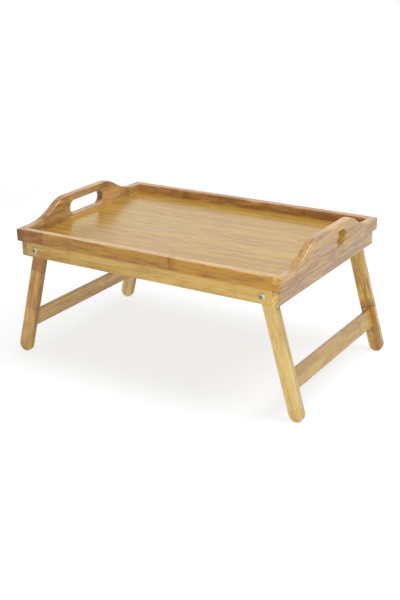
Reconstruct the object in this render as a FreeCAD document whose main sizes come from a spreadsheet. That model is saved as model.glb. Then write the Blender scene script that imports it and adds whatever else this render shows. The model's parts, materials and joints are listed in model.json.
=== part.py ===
import FreeCAD, Part
import math
import os
import re

import Sketcher

# Folding bed tray table in bamboo: a shallow tray with two raised handle boards stands on two leg
# frames that splay outwards and fold flat inside the apron under the tray.
# Frame: millimetres, +X along the long side to the right, +Y to the back, +Z up.  The origin is on
# the floor under the middle of the tray.

# --------------------------------------------------------------------------------------------------
# Driving dimensions: name, value, what it measures
# --------------------------------------------------------------------------------------------------
DIMENSIONS = [
    ("tray_length", 500, "outside length of the tray, across the two handle boards"),
    ("tray_depth", 350, "outside depth of the tray, front to back"),
    ("rail_top_height", 234, "top of the long rails above the floor"),
    ("rail_height", 21, "height of the long rails"),
    ("rail_thickness", 14, "thickness of the long rails"),
    ("end_board_thickness", 14, "thickness of the handle boards"),
    ("edge_round", 2, "rounding of the tray's upper edges and outer corners"),
    ("lower_round", 1.5, "rounding of the tray's lower outer edges"),
    ("panel_thickness", 5.5, "thickness of the tray panel"),
    ("panel_overlap", 3.5, "depth of the rabbet that takes the panel's edge"),
    ("panel_gap", 0.3, "play around the panel's edge in the rabbet"),
    ("handle_rise", 29, "height of the grip's top above the rails"),
    ("level_run", 10.9, "level part of a handle board between a rail and the foot of its sweep"),
    ("shoulder_radius", 58, "radius of the handle's convex shoulder"),
    ("sweep_radius", 118, "radius of the handle's concave sweep down to the rail"),
    ("ramp_angle", 31, "slope of the straight run between shoulder and sweep, degrees"),
    ("slot_length", 93.5, "length of the finger slot, end to end"),
    ("slot_height", 25, "height of the finger slot"),
    ("slot_round", 2, "rounding of the finger slot's edges"),
    ("grip_height", 12.2, "height of the grip bar above the slot"),
    ("apron_height", 26, "height of the apron boards"),
    ("apron_thickness", 11, "thickness of the apron boards"),
    ("apron_end_inset", 6, "set-back of the end aprons from the handle boards"),
    ("apron_side_inset", 4, "set-back of the long aprons from the rails"),
    ("apron_round", 2, "rounding of the apron's exposed edges"),
    ("leg_width", 25, "width of a leg, which is also the diameter of its round ends"),
    ("leg_thickness", 11, "thickness of a leg"),
    ("leg_splay", 15.4, "outward lean of the open legs, degrees"),
    ("leg_top_gap", 1, "room between a leg's top and the panel"),
    ("leg_stop_gap", 0.3, "play between an open leg and the end apron that stops it"),
    ("leg_round", 2, "rounding of a leg's edges"),
    ("side_gap", 0.3, "play on each side of a leg on its bolt"),
    ("stretcher_drop", 144, "distance from the pivot down the leg to the stretcher's middle"),
    ("stretcher_width", 31, "width of a stretcher along the leg"),
    ("stretcher_thickness", 8, "thickness of a stretcher"),
    ("stretcher_round", 1.2, "rounding of a stretcher's long edges"),
    ("bolt_diameter", 6, "shank of a pivot bolt"),
    ("bolt_head_diameter", 12.5, "domed head of a pivot bolt"),
    ("bolt_head_height", 3.2, "height of the domed head"),
    ("bolt_rim_height", 0.8, "straight rim under the dome"),
    ("bolt_socket_width", 4, "hexagonal socket across its flats"),
    ("bolt_socket_depth", 2, "depth of the socket"),
    ("bolt_tip", 1.5, "end of the bolt that stands out of the nut"),
    ("pivot_clearance", 0.05, "radial running clearance of a leg on its bolt"),
    ("washer_diameter", 14, "outside of the washers"),
    ("spacer_thickness", 1.7, "washer between the apron and the leg"),
    ("washer_thickness", 1.2, "washer between the leg and the nut"),
    ("nut_width", 10, "lock nut across its flats"),
    ("nut_thickness", 4.6, "hexagonal part of the lock nut"),
    ("collar_height", 1.4, "round collar on the lock nut"),
    ("collar_diameter", 8.6, "outside of the lock nut's collar"),
    ("dowel_diameter", 5, "dowels in the corner and stretcher joints"),
    ("rail_dowel_length", 24, "dowels between the rails and the handle boards"),
    ("rail_dowel_spacing", 8.5, "height between the two dowels of a rail joint"),
    ("apron_dowel_length", 20, "dowels in the apron's corners"),
    ("apron_dowel_spacing", 13, "height between the two dowels of an apron joint"),
    ("stretcher_dowel_length", 24, "dowels between a stretcher and its legs"),
    ("stretcher_dowel_spacing", 16, "distance between the two dowels of a stretcher joint"),
    ("blind_depth", 7.5, "depth that corner and stretcher dowels go into the piece they butt"),
    ("frame_dowel_diameter", 4, "upright dowels between the aprons and the rails"),
    ("frame_dowel_length", 22, "length of the upright dowels"),
    ("frame_dowel_spacing", 150, "distance between the upright dowels of one side"),
    ("dowel_chamfer", 0.6, "chamfer on the ends of all dowels"),
    ("glue_gap", 0.05, "radial play of a dowel in its hole"),
    ("hole_end_gap", 0.5, "room past a dowel's end in its hole"),
]

# Sizes and places that follow from the driving dimensions
DERIVED = {
    "half_length": "tray_length / 2",
    "half_depth": "tray_depth / 2",
    "rail_bottom": "rail_top_height - rail_height",
    "end_inner_x": "half_length - end_board_thickness",
    "rail_inner_y": "half_depth - rail_thickness",
    "rail_middle_y": "half_depth - rail_thickness / 2",
    "rabbet_y": "rail_inner_y + panel_overlap",
    "rabbet_x": "end_inner_x + panel_overlap",
    "panel_top": "rail_bottom + panel_thickness",
    "curve_rise": "(shoulder_radius + sweep_radius) * (1 - cos(ramp_angle))",
    "ramp_length": "(handle_rise - curve_rise) / sin(ramp_angle)",
    "shoulder_run": "shoulder_radius * sin(ramp_angle)",
    "ramp_run": "ramp_length * cos(ramp_angle)",
    "sweep_run": "sweep_radius * sin(ramp_angle)",
    "sweep_end": "rail_inner_y - level_run",
    "grip_half": "sweep_end - sweep_run - ramp_run - shoulder_run",
    "slot_middle_z": "rail_top_height + handle_rise - grip_height - slot_height / 2",
    "apron_bottom": "rail_bottom - apron_height",
    "apron_middle_z": "rail_bottom - apron_height / 2",
    "apron_outer_x": "half_length - apron_end_inset",
    "apron_inner_x": "apron_outer_x - apron_thickness",
    "apron_outer_y": "half_depth - apron_side_inset",
    "apron_inner_y": "apron_outer_y - apron_thickness",
    "apron_middle_y": "apron_outer_y - apron_thickness / 2",
    "pivot_z": "rail_bottom - leg_top_gap - leg_width / 2",
    "pivot_x": "apron_inner_x - (leg_stop_gap + leg_width / 2) / cos(leg_splay)"
               " - (pivot_z - apron_bottom) * tan(leg_splay)",
    "leg_span": "(pivot_z - leg_width / 2) / cos(leg_splay)",
    "leg_outer_y": "apron_inner_y - spacer_thickness - side_gap",
    "leg_inner_y": "leg_outer_y - leg_thickness",
    "nut_washer_y": "leg_inner_y - side_gap",
    "nut_y": "nut_washer_y - washer_thickness",
    "bolt_radius": "bolt_diameter / 2",
    "bolt_length": "apron_outer_y - nut_y + nut_thickness + collar_height + bolt_tip",
    "rail_dowel_z": "(rail_bottom + rail_top_height) / 2",
    "frame_dowel_y": "(apron_outer_y + rabbet_y) / 2",
    "blind_hole": "blind_depth + hole_end_gap",
}

doc = FreeCAD.newDocument("bed_tray_table")
sheet = doc.addObject("Spreadsheet::Sheet", "dims")
for row, (alias, number, note) in enumerate(DIMENSIONS, start=1):
    sheet.set(f"A{row}", note)
    sheet.set(f"B{row}", str(number))
    sheet.setAlias(f"B{row}", alias)
doc.recompute()

ALIASES = {alias for alias, number, note in DIMENSIONS}
CLOSE = 0.01  # two coordinates nearer than this are the same place


# --------------------------------------------------------------------------------------------------
# Formulas, sketches and features
# --------------------------------------------------------------------------------------------------
def formula(text):
    """Write out a formula in names of dimensions as an expression on the sheet."""
    def spell(match):
        name = match.group()
        if name in DERIVED:
            return "(" + formula(DERIVED[name]) + ")"
        return "dims." + name if name in ALIASES else name
    return re.sub(r"[a-z][a-z_]*", spell, text)


def value(text):
    """The number that a formula gives now."""
    return float(sheet.evalExpression(formula(text)))


def bind(thing, path, text, unit=""):
    thing.setExpression(path, formula(text) if not unit else f"({formula(text)}) * 1 {unit}")


def new_body(label):
    body = doc.addObject("PartDesign::Body", label)
    body.Label = label
    return body


def origin_plane(body, role):
    return next(item for item in body.Origin.OriginFeatures if item.Role == role)


def new_sketch(body, role, name, offset="0"):
    """A sketch on one of the body's origin planes, moved along the plane's normal by offset.

    The normals are +Z for XY_Plane, +X for YZ_Plane and -Y for XZ_Plane.
    """
    sketch = body.newObject("Sketcher::SketchObject", name)
    sketch.AttachmentSupport = [(origin_plane(body, role), "")]
    sketch.MapMode = "FlatFace"
    bind(sketch, "AttachmentOffset.Base.z", offset)
    return sketch


def dimension(sketch, kind, *where, text):
    """A dimensional constraint whose value is a formula."""
    index = sketch.addConstraint(Sketcher.Constraint(kind, *where, value(text)))
    bind(sketch, f"Constraints[{index}]", text)


def place_point(sketch, geometry, point, across, up):
    """Fix a point of the sketch at two formulas, measured from the sketch's origin."""
    dimension(sketch, "DistanceX", -1, 1, geometry, point, text=across)
    dimension(sketch, "DistanceY", -1, 1, geometry, point, text=up)


def join(sketch, kind, *joints):
    """Join pairs of ends, each given as one piece, its end, the other piece and its end."""
    for ends in joints:
        sketch.addConstraint(Sketcher.Constraint(kind, *ends))


def draw_polygon(sketch, corners):
    """A closed outline of straight lines through corners, each a pair of formulas."""
    points = [(value(across), value(up)) for across, up in corners]
    sides = [draw_line(sketch, start, end) for start, end in zip(points, points[1:] + points[:1])]
    for side, following, corner in zip(sides, sides[1:] + sides[:1], corners):
        join(sketch, "Coincident", (side, 2, following, 1))
        place_point(sketch, side, 1, *corner)


def draw_box(sketch, low_across, high_across, low_up, high_up):
    """A rectangle between four formulas."""
    draw_polygon(sketch, [(low_across, low_up), (high_across, low_up),
                          (high_across, high_up), (low_across, high_up)])


def draw_circle(sketch, across, up, diameter):
    centre = FreeCAD.Vector(value(across), value(up), 0)
    circle = Part.Circle(centre, FreeCAD.Vector(0, 0, 1), value(diameter) / 2)
    index = sketch.addGeometry(circle, False)
    dimension(sketch, "Diameter", index, text=diameter)
    place_point(sketch, index, 3, across, up)


def draw_arc(sketch, centre, radius, start, end):
    """An arc that runs anticlockwise from start to end, in degrees."""
    circle = Part.Circle(FreeCAD.Vector(*centre, 0), FreeCAD.Vector(0, 0, 1), radius)
    arc = Part.ArcOfCircle(circle, math.radians(start), math.radians(end))
    return sketch.addGeometry(arc, False)


def draw_line(sketch, start, end):
    line = Part.LineSegment(FreeCAD.Vector(*start, 0), FreeCAD.Vector(*end, 0))
    return sketch.addGeometry(line, False)


def draw_stadium(sketch, low, high, width, upright):
    """Two half circles of one width, joined by straight sides.

    low and high are the centres of the half circles, as pairs of formulas.
    """
    low_x, low_y = (value(text) for text in low)
    high_x, high_y = (value(text) for text in high)
    radius = value(width) / 2
    turn = 90 if upright else 0
    near = draw_arc(sketch, (low_x, low_y), radius, 90 + turn, 270 + turn)
    far = draw_arc(sketch, (high_x, high_y), radius, 270 + turn, 450 + turn)
    side_x = radius if upright else 0
    side_y = 0 if upright else radius
    first = draw_line(sketch, (low_x + side_x, low_y - side_y), (high_x + side_x, high_y - side_y))
    second = draw_line(sketch, (high_x - side_x, high_y + side_y), (low_x - side_x, low_y + side_y))
    join(sketch, "Tangent", (near, 2, first, 1), (first, 2, far, 1), (far, 2, second, 1),
         (second, 2, near, 1))
    dimension(sketch, "Diameter", near, text=width)
    place_point(sketch, near, 3, *low)
    place_point(sketch, far, 3, *high)


def pad(body, sketch, length, symmetric=False, reverse=False):
    feature = body.newObject("PartDesign::Pad", sketch.Name + "_pad")
    feature.Profile = sketch
    bind(feature, "Length", length)
    feature.SideType = "Symmetric" if symmetric else "One side"
    feature.Reversed = reverse
    doc.recompute()
    return feature


def pocket(body, sketch, depth, symmetric=False, reverse=False):
    """Cut a sketch into the body, and stop if the cut points away from the material."""
    before = body.Shape.Volume
    feature = body.newObject("PartDesign::Pocket", sketch.Name + "_cut")
    feature.Profile = sketch
    bind(feature, "Length", depth)
    feature.SideType = "Symmetric" if symmetric else "One side"
    feature.Reversed = reverse
    doc.recompute()
    if body.Shape.Volume > before - CLOSE:
        raise RuntimeError(f"{feature.Name} cuts nothing from {body.Label}")
    return feature


def revolve(body, sketch):
    """Turn a sketch on the YZ plane about the body's Y axis."""
    feature = body.newObject("PartDesign::Revolution", sketch.Name + "_turn")
    feature.Profile = sketch
    feature.ReferenceAxis = (sketch, ["H_Axis"])
    feature.Angle = 360
    doc.recompute()
    return feature


def repeat_across(body, role, *features):
    """Repeat features on the other side of one of the body's origin planes."""
    feature = body.newObject("PartDesign::Mirrored", features[0].Name + "_mirror")
    feature.Originals = list(features)
    feature.MirrorPlane = (origin_plane(body, role), [""])
    body.Tip = feature
    doc.recompute()
    return feature


def edges_where(body, test):
    """Names of the body's edges that pass a test."""
    return [f"Edge{number}" for number, edge in enumerate(body.Shape.Edges, start=1) if test(edge)]


def edges_at(body, **place):
    """Names of the body's edges that lie wholly at the stated x, y or z."""
    def stays(edge):
        box = edge.BoundBox
        spans = {"x": (box.XMin, box.XMax), "y": (box.YMin, box.YMax), "z": (box.ZMin, box.ZMax)}
        return all(max(abs(spans[axis][0] - at), abs(spans[axis][1] - at)) < CLOSE
                   for axis, at in place.items())
    return edges_where(body, stays)


def ease_edges(body, kind, names, size_name, size):
    base = body.Tip
    feature = body.newObject("PartDesign::" + kind, body.Name + "_" + kind.lower())
    feature.Base = (base, sorted(set(names)))
    bind(feature, size_name, size)
    doc.recompute()
    return feature


def fillet(body, names, radius):
    return ease_edges(body, "Fillet", names, "Radius", radius)


def chamfer_ends(body):
    """Chamfer the round ends of dowels."""
    rims = edges_where(body, lambda edge: edge.isClosed())
    return ease_edges(body, "Chamfer", rims, "Size", "dowel_chamfer")


def mirror(label, source, axis):
    """The same piece on the other side of the tray's middle plane across axis."""
    copy = doc.addObject("Part::Mirroring", label)
    copy.Label = label
    copy.Source = source
    copy.Normal = {"x": FreeCAD.Vector(1, 0, 0), "y": FreeCAD.Vector(0, 1, 0)}[axis]
    return copy


def gather(label, pieces):
    group = doc.addObject("Part::Compound", label)
    group.Label = label
    group.Links = pieces
    return group


def four_corners(label, source):
    """One node with the source at the right front and its copies at the other three corners."""
    left = mirror(label + "_left", source, "x")
    back = mirror(label + "_back", source, "y")
    left_back = mirror(label + "_left_back", left, "y")
    return gather(label, [source, left, back, left_back])


# --------------------------------------------------------------------------------------------------
# The tray: panel, long rails and handle boards
# --------------------------------------------------------------------------------------------------
def make_panel():
    body = new_body("tray_panel")
    sketch = new_sketch(body, "XY_Plane", "panel_outline", "rail_bottom")
    draw_box(sketch, "panel_gap - rabbet_x", "rabbet_x - panel_gap",
             "panel_gap - rabbet_y", "rabbet_y - panel_gap")
    pad(body, sketch, "panel_thickness")
    return body


def make_front_rail():
    """Long rail with a rabbet for the panel along its lower inner edge."""
    body = new_body("front_rail")
    section = new_sketch(body, "YZ_Plane", "rail_section")
    draw_polygon(section, [("-half_depth", "rail_bottom"), ("-rabbet_y", "rail_bottom"),
                           ("-rabbet_y", "panel_top"), ("-rail_inner_y", "panel_top"),
                           ("-rail_inner_y", "rail_top_height"), ("-half_depth", "rail_top_height")])
    pad(body, section, "2 * end_inner_x", symmetric=True)
    outer = -value("half_depth")
    inner = -value("rail_inner_y")
    top = value("rail_top_height")
    fillet(body, edges_at(body, y=outer, z=top) + edges_at(body, y=inner, z=top), "edge_round")
    fillet(body, edges_at(body, y=outer, z=value("rail_bottom")), "lower_round")

    ends = new_sketch(body, "YZ_Plane", "rail_end_holes", "end_inner_x")
    for side in ("-", "+"):
        draw_circle(ends, "-rail_middle_y", f"rail_dowel_z {side} rail_dowel_spacing / 2",
                    "dowel_diameter + 2 * glue_gap")
    holes = pocket(body, ends, "rail_dowel_length - blind_depth + hole_end_gap")
    repeat_across(body, "YZ_Plane", holes)

    under = new_sketch(body, "XY_Plane", "rail_under_holes", "rail_bottom")
    draw_frame_dowel_circles(under, "frame_dowel_diameter + 2 * glue_gap")
    pocket(body, under, "frame_dowel_length / 2 + hole_end_gap", reverse=True)
    return body


def draw_frame_dowel_circles(sketch, diameter):
    """Three circles in a row along the front side, for the upright dowels and their holes."""
    for step in ("-frame_dowel_spacing", "0", "frame_dowel_spacing"):
        draw_circle(sketch, step, "-frame_dowel_y", diameter)


def draw_handle_outline(sketch):
    """Outline of a handle board: level over the rails, swept up to the grip and down again."""
    half, foot, level = value("half_depth"), value("rail_bottom"), value("rail_top_height")
    grip, top = value("grip_half"), value("rail_top_height + handle_rise")
    shoulder, sweep, slope = value("shoulder_radius"), value("sweep_radius"), value("ramp_angle")
    sweep_end = value("sweep_end")
    ramp_high = (grip + value("shoulder_run"), top - value("shoulder_radius * (1 - cos(ramp_angle))"))
    ramp_low = (sweep_end - value("sweep_run"), level + value("sweep_radius * (1 - cos(ramp_angle))"))

    base = draw_line(sketch, (-half, foot), (half, foot))
    right_end = draw_line(sketch, (half, foot), (half, level))
    right_level = draw_line(sketch, (half, level), (sweep_end, level))
    right_sweep = draw_arc(sketch, (sweep_end, level + sweep), sweep, 270 - slope, 270)
    right_ramp = draw_line(sketch, ramp_low, ramp_high)
    right_shoulder = draw_arc(sketch, (grip, top - shoulder), shoulder, 90 - slope, 90)
    grip_top = draw_line(sketch, (grip, top), (-grip, top))
    left_shoulder = draw_arc(sketch, (-grip, top - shoulder), shoulder, 90, 90 + slope)
    left_ramp = draw_line(sketch, (-ramp_high[0], ramp_high[1]), (-ramp_low[0], ramp_low[1]))
    left_sweep = draw_arc(sketch, (-sweep_end, level + sweep), sweep, 270, 270 + slope)
    left_level = draw_line(sketch, (-sweep_end, level), (-half, level))
    left_end = draw_line(sketch, (-half, level), (-half, foot))

    join(sketch, "Coincident", (base, 2, right_end, 1), (right_end, 2, right_level, 1),
         (left_level, 2, left_end, 1), (left_end, 2, base, 1))
    join(sketch, "Tangent", (right_level, 2, right_sweep, 2), (right_sweep, 1, right_ramp, 1),
         (right_ramp, 2, right_shoulder, 1), (right_shoulder, 2, grip_top, 1),
         (grip_top, 2, left_shoulder, 1), (left_shoulder, 2, left_ramp, 1),
         (left_ramp, 2, left_sweep, 2), (left_sweep, 1, left_level, 1))
    for level_line in (base, right_level, grip_top, left_level):
        sketch.addConstraint(Sketcher.Constraint("Horizontal", level_line))
    for upright in (right_end, left_end):
        sketch.addConstraint(Sketcher.Constraint("Vertical", upright))
    for arc, text in ((right_shoulder, "shoulder_radius"), (left_shoulder, "shoulder_radius"),
                      (right_sweep, "sweep_radius"), (left_sweep, "sweep_radius")):
        dimension(sketch, "Radius", arc, text=text)
    place_point(sketch, base, 1, "-half_depth", "rail_bottom")
    place_point(sketch, right_end, 2, "half_depth", "rail_top_height")
    place_point(sketch, grip_top, 1, "grip_half", "rail_top_height + handle_rise")
    dimension(sketch, "DistanceX", -1, 1, grip_top, 2, text="-grip_half")
    dimension(sketch, "DistanceY", -1, 1, left_level, 2, text="rail_top_height")
    steepness = math.radians(180 - slope)
    angle = sketch.addConstraint(Sketcher.Constraint("Angle", right_ramp, steepness))
    bind(sketch, f"Constraints[{angle}]", "180 - ramp_angle", unit="deg")
    sketch.addConstraint(Sketcher.Constraint("Equal", right_ramp, left_ramp))


def make_right_handle_board():
    """End board with its swept top, rounded finger slot and stopped rabbet for the panel."""
    body = new_body("right_handle_board")
    outline = new_sketch(body, "YZ_Plane", "handle_outline", "half_length - end_board_thickness / 2")
    draw_handle_outline(outline)
    pad(body, outline, "end_board_thickness", symmetric=True)
    stubs = new_sketch(body, "YZ_Plane", "rail_stubs", "end_inner_x")
    for side in ("-", ""):
        draw_box(stubs, f"{side}half_depth", f"{side}rail_inner_y", "rail_bottom", "rail_top_height")
    pad(body, stubs, "rail_thickness", reverse=True)

    slot = new_sketch(body, "YZ_Plane", "finger_slot", "half_length - end_board_thickness / 2")
    reach = "(slot_length - slot_height) / 2"
    draw_stadium(slot, (f"-{reach}", "slot_middle_z"), (reach, "slot_middle_z"), "slot_height",
                 upright=False)
    pocket(body, slot, "2 * end_board_thickness", symmetric=True)
    round_handle_board(body)
    inside = new_sketch(body, "YZ_Plane", "stub_removal", "end_inner_x")
    draw_box(inside, "-half_depth - 1", "half_depth + 1", "rail_bottom - 1", "rail_top_height + 1")
    pocket(body, inside, "rail_thickness + 1")

    rabbet = new_sketch(body, "YZ_Plane", "end_rabbet", "end_inner_x")
    draw_box(rabbet, "-rabbet_y", "rabbet_y", "rail_bottom - 1", "panel_top")
    pocket(body, rabbet, "panel_overlap", reverse=True)

    holes = new_sketch(body, "YZ_Plane", "board_dowel_holes", "end_inner_x")
    for side in ("-", "+"):
        draw_circle(holes, "-rail_middle_y", f"rail_dowel_z {side} rail_dowel_spacing / 2",
                    "dowel_diameter + 2 * glue_gap")
    front = pocket(body, holes, "blind_hole", reverse=True)
    repeat_across(body, "XZ_Plane", front)
    return body


def round_handle_board(body):
    """Round the slot, the top edges and the lower edges, with stubs of the rails still in place.

    The stubs let the inner top edge turn the corner into the rails, as a router runs round a
    frame that is already glued.
    """
    outer, inner = value("half_length"), value("end_inner_x")
    slot_top, slot_half = value("slot_middle_z + slot_height / 2"), value("slot_length / 2")
    foot, level = value("rail_bottom"), value("rail_top_height")
    end, rail_inner = value("half_depth"), value("rail_inner_y")

    def rims_the_slot(edge):
        box = edge.BoundBox
        in_reach = max(-box.YMin, box.YMax) < slot_half + CLOSE and box.ZMax < slot_top + CLOSE
        return box.XLength < CLOSE and in_reach and box.ZMin > foot + CLOSE

    def rims_the_top(edge):
        box = edge.BoundBox
        off_face = min(abs(box.XMin - outer), abs(box.XMin - inner))
        return box.XLength < CLOSE and off_face < CLOSE and box.ZMin > level - CLOSE

    fillet(body, edges_where(body, rims_the_slot), "slot_round")
    upper = edges_where(body, rims_the_top)
    lower = []
    for side in (-1, 1):
        upper += edges_at(body, x=outer, y=side * end) + edges_at(body, y=side * end, z=level)
        upper += edges_at(body, y=side * rail_inner, z=level)
    fillet(body, upper, "edge_round")
    for side in (-1, 1):
        lower += edges_at(body, y=side * end, z=foot)
    fillet(body, lower + edges_at(body, x=outer, z=foot), "lower_round")


# --------------------------------------------------------------------------------------------------
# The apron under the tray, which houses the folded legs
# --------------------------------------------------------------------------------------------------
def make_front_apron():
    """Long apron with the two pivot bolt holes, butted between the end aprons."""
    body = new_body("front_apron")
    section = new_sketch(body, "YZ_Plane", "apron_section")
    draw_box(section, "-apron_outer_y", "-apron_inner_y", "apron_bottom", "rail_bottom")
    pad(body, section, "2 * apron_inner_x", symmetric=True)
    fillet(body, edges_at(body, y=-value("apron_outer_y"), z=value("apron_bottom")), "apron_round")

    bolts = new_sketch(body, "XZ_Plane", "bolt_holes", "apron_outer_y")
    for side in ("-", ""):
        draw_circle(bolts, f"{side}(pivot_x)", "pivot_z", "bolt_diameter + 2 * glue_gap")
    pocket(body, bolts, "apron_thickness")

    ends = new_sketch(body, "YZ_Plane", "apron_end_holes", "apron_inner_x")
    for side in ("-", "+"):
        draw_circle(ends, "-apron_middle_y", f"apron_middle_z {side} apron_dowel_spacing / 2",
                    "dowel_diameter + 2 * glue_gap")
    holes = pocket(body, ends, "apron_dowel_length - blind_depth + hole_end_gap")
    repeat_across(body, "YZ_Plane", holes)

    above = new_sketch(body, "XY_Plane", "apron_top_holes", "rail_bottom")
    draw_frame_dowel_circles(above, "frame_dowel_diameter + 2 * glue_gap")
    pocket(body, above, "frame_dowel_length / 2 + hole_end_gap")
    return body


def make_right_apron():
    """End apron: its lower inner edge is the stop of the open legs."""
    body = new_body("right_apron")
    section = new_sketch(body, "XZ_Plane", "end_apron_section")
    draw_box(section, "apron_inner_x", "apron_outer_x", "apron_bottom", "rail_bottom")
    pad(body, section, "2 * apron_outer_y", symmetric=True)
    outer, bottom = value("apron_outer_x"), value("apron_bottom")
    exposed = edges_at(body, x=outer, z=bottom)
    for end in (-value("apron_outer_y"), value("apron_outer_y")):
        exposed += edges_at(body, x=outer, y=end) + edges_at(body, y=end, z=bottom)
    fillet(body, exposed, "apron_round")

    holes = new_sketch(body, "YZ_Plane", "end_apron_holes", "apron_inner_x")
    for side in ("-", "+"):
        draw_circle(holes, "-apron_middle_y", f"apron_middle_z {side} apron_dowel_spacing / 2",
                    "dowel_diameter + 2 * glue_gap")
    front = pocket(body, holes, "blind_hole", reverse=True)
    repeat_across(body, "XZ_Plane", front)
    return body


# --------------------------------------------------------------------------------------------------
# The leg frames.  Each is drawn upright with the pivot at its origin, then leans outwards.
# --------------------------------------------------------------------------------------------------
def lean_out(piece, y="0"):
    """Stand a piece of the right leg frame on its pivot and lean its foot outwards."""
    piece.Placement = FreeCAD.Placement(
        FreeCAD.Vector(), FreeCAD.Rotation(FreeCAD.Vector(0, -1, 0), value("leg_splay")))
    bind(piece, "Placement.Rotation.Angle", "leg_splay", unit="deg")
    for axis, text in (("x", "pivot_x"), ("y", y), ("z", "pivot_z")):
        bind(piece, f"Placement.Base.{axis}", text)
    doc.recompute()


def draw_stretcher_dowel_circles(sketch, diameter):
    for side in ("-", "+"):
        draw_circle(sketch, "0", f"-stretcher_drop {side} stretcher_dowel_spacing / 2", diameter)


def make_right_front_leg():
    """Flat leg with round ends, bored for its pivot bolt and for the stretcher's dowels."""
    body = new_body("right_front_leg")
    outline = new_sketch(body, "XZ_Plane", "leg_outline")
    draw_stadium(outline, ("0", "-leg_span"), ("0", "0"), "leg_width", upright=True)
    pad(body, outline, "leg_thickness", symmetric=True)
    half = value("leg_thickness") / 2
    fillet(body, edges_at(body, y=-half) + edges_at(body, y=half), "leg_round")

    bore = new_sketch(body, "XZ_Plane", "pivot_bore")
    draw_circle(bore, "0", "0", "bolt_diameter + 2 * pivot_clearance")
    pocket(body, bore, "2 * leg_thickness", symmetric=True)

    holes = new_sketch(body, "XZ_Plane", "leg_dowel_holes", "-leg_thickness / 2")
    draw_stretcher_dowel_circles(holes, "dowel_diameter + 2 * glue_gap")
    pocket(body, holes, "blind_hole", reverse=True)
    lean_out(body, "-(leg_outer_y + leg_inner_y) / 2")
    return body


def make_right_stretcher():
    """Flat bar between the two legs of one end."""
    body = new_body("right_stretcher")
    section = new_sketch(body, "XZ_Plane", "stretcher_section")
    draw_box(section, "-stretcher_thickness / 2", "stretcher_thickness / 2",
             "-stretcher_drop - stretcher_width / 2", "-stretcher_drop + stretcher_width / 2")
    pad(body, section, "2 * leg_inner_y", symmetric=True)
    long_edges = []
    for side in ("-", ""):
        for end in ("-", "+"):
            long_edges += edges_at(body, x=value(f"{side}stretcher_thickness / 2"),
                                   z=value(f"-stretcher_drop {end} stretcher_width / 2"))
    fillet(body, long_edges, "stretcher_round")

    holes = new_sketch(body, "XZ_Plane", "stretcher_holes", "leg_inner_y")
    draw_stretcher_dowel_circles(holes, "dowel_diameter + 2 * glue_gap")
    front = pocket(body, holes, "stretcher_dowel_length - blind_depth + hole_end_gap")
    repeat_across(body, "XZ_Plane", front)
    lean_out(body)
    return body


def make_right_stretcher_dowels():
    body = new_body("right_stretcher_dowels")
    circles = new_sketch(body, "XZ_Plane", "stretcher_dowels", "leg_inner_y + blind_depth")
    draw_stretcher_dowel_circles(circles, "dowel_diameter")
    front = pad(body, circles, "stretcher_dowel_length", reverse=True)
    eased = chamfer_ends(body)
    repeat_across(body, "XZ_Plane", front, eased)
    lean_out(body)
    return body


# --------------------------------------------------------------------------------------------------
# Dowels and pivot hardware, drawn at the right front corner
# --------------------------------------------------------------------------------------------------
def make_corner_dowels(label, start, y, z, spacing, length):
    """Two dowels that run along X, one above the other, from start towards the middle."""
    body = new_body(label)
    circles = new_sketch(body, "YZ_Plane", label + "_circles", start)
    for side in ("-", "+"):
        draw_circle(circles, y, f"{z} {side} {spacing} / 2", "dowel_diameter")
    pad(body, circles, length, reverse=True)
    chamfer_ends(body)
    return body


def make_front_frame_dowels():
    """Upright dowels that tie the front apron to the front rail."""
    body = new_body("front_frame_dowels")
    circles = new_sketch(body, "XY_Plane", "frame_dowel_circles", "rail_bottom")
    draw_frame_dowel_circles(circles, "frame_dowel_diameter")
    pad(body, circles, "frame_dowel_length", symmetric=True)
    chamfer_ends(body)
    return body


def hang_on_pivot(body):
    """Put a turned piece, drawn about the Y axis, on the right front pivot."""
    bind(body, "Placement.Base.x", "pivot_x")
    bind(body, "Placement.Base.z", "pivot_z")
    doc.recompute()


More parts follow.
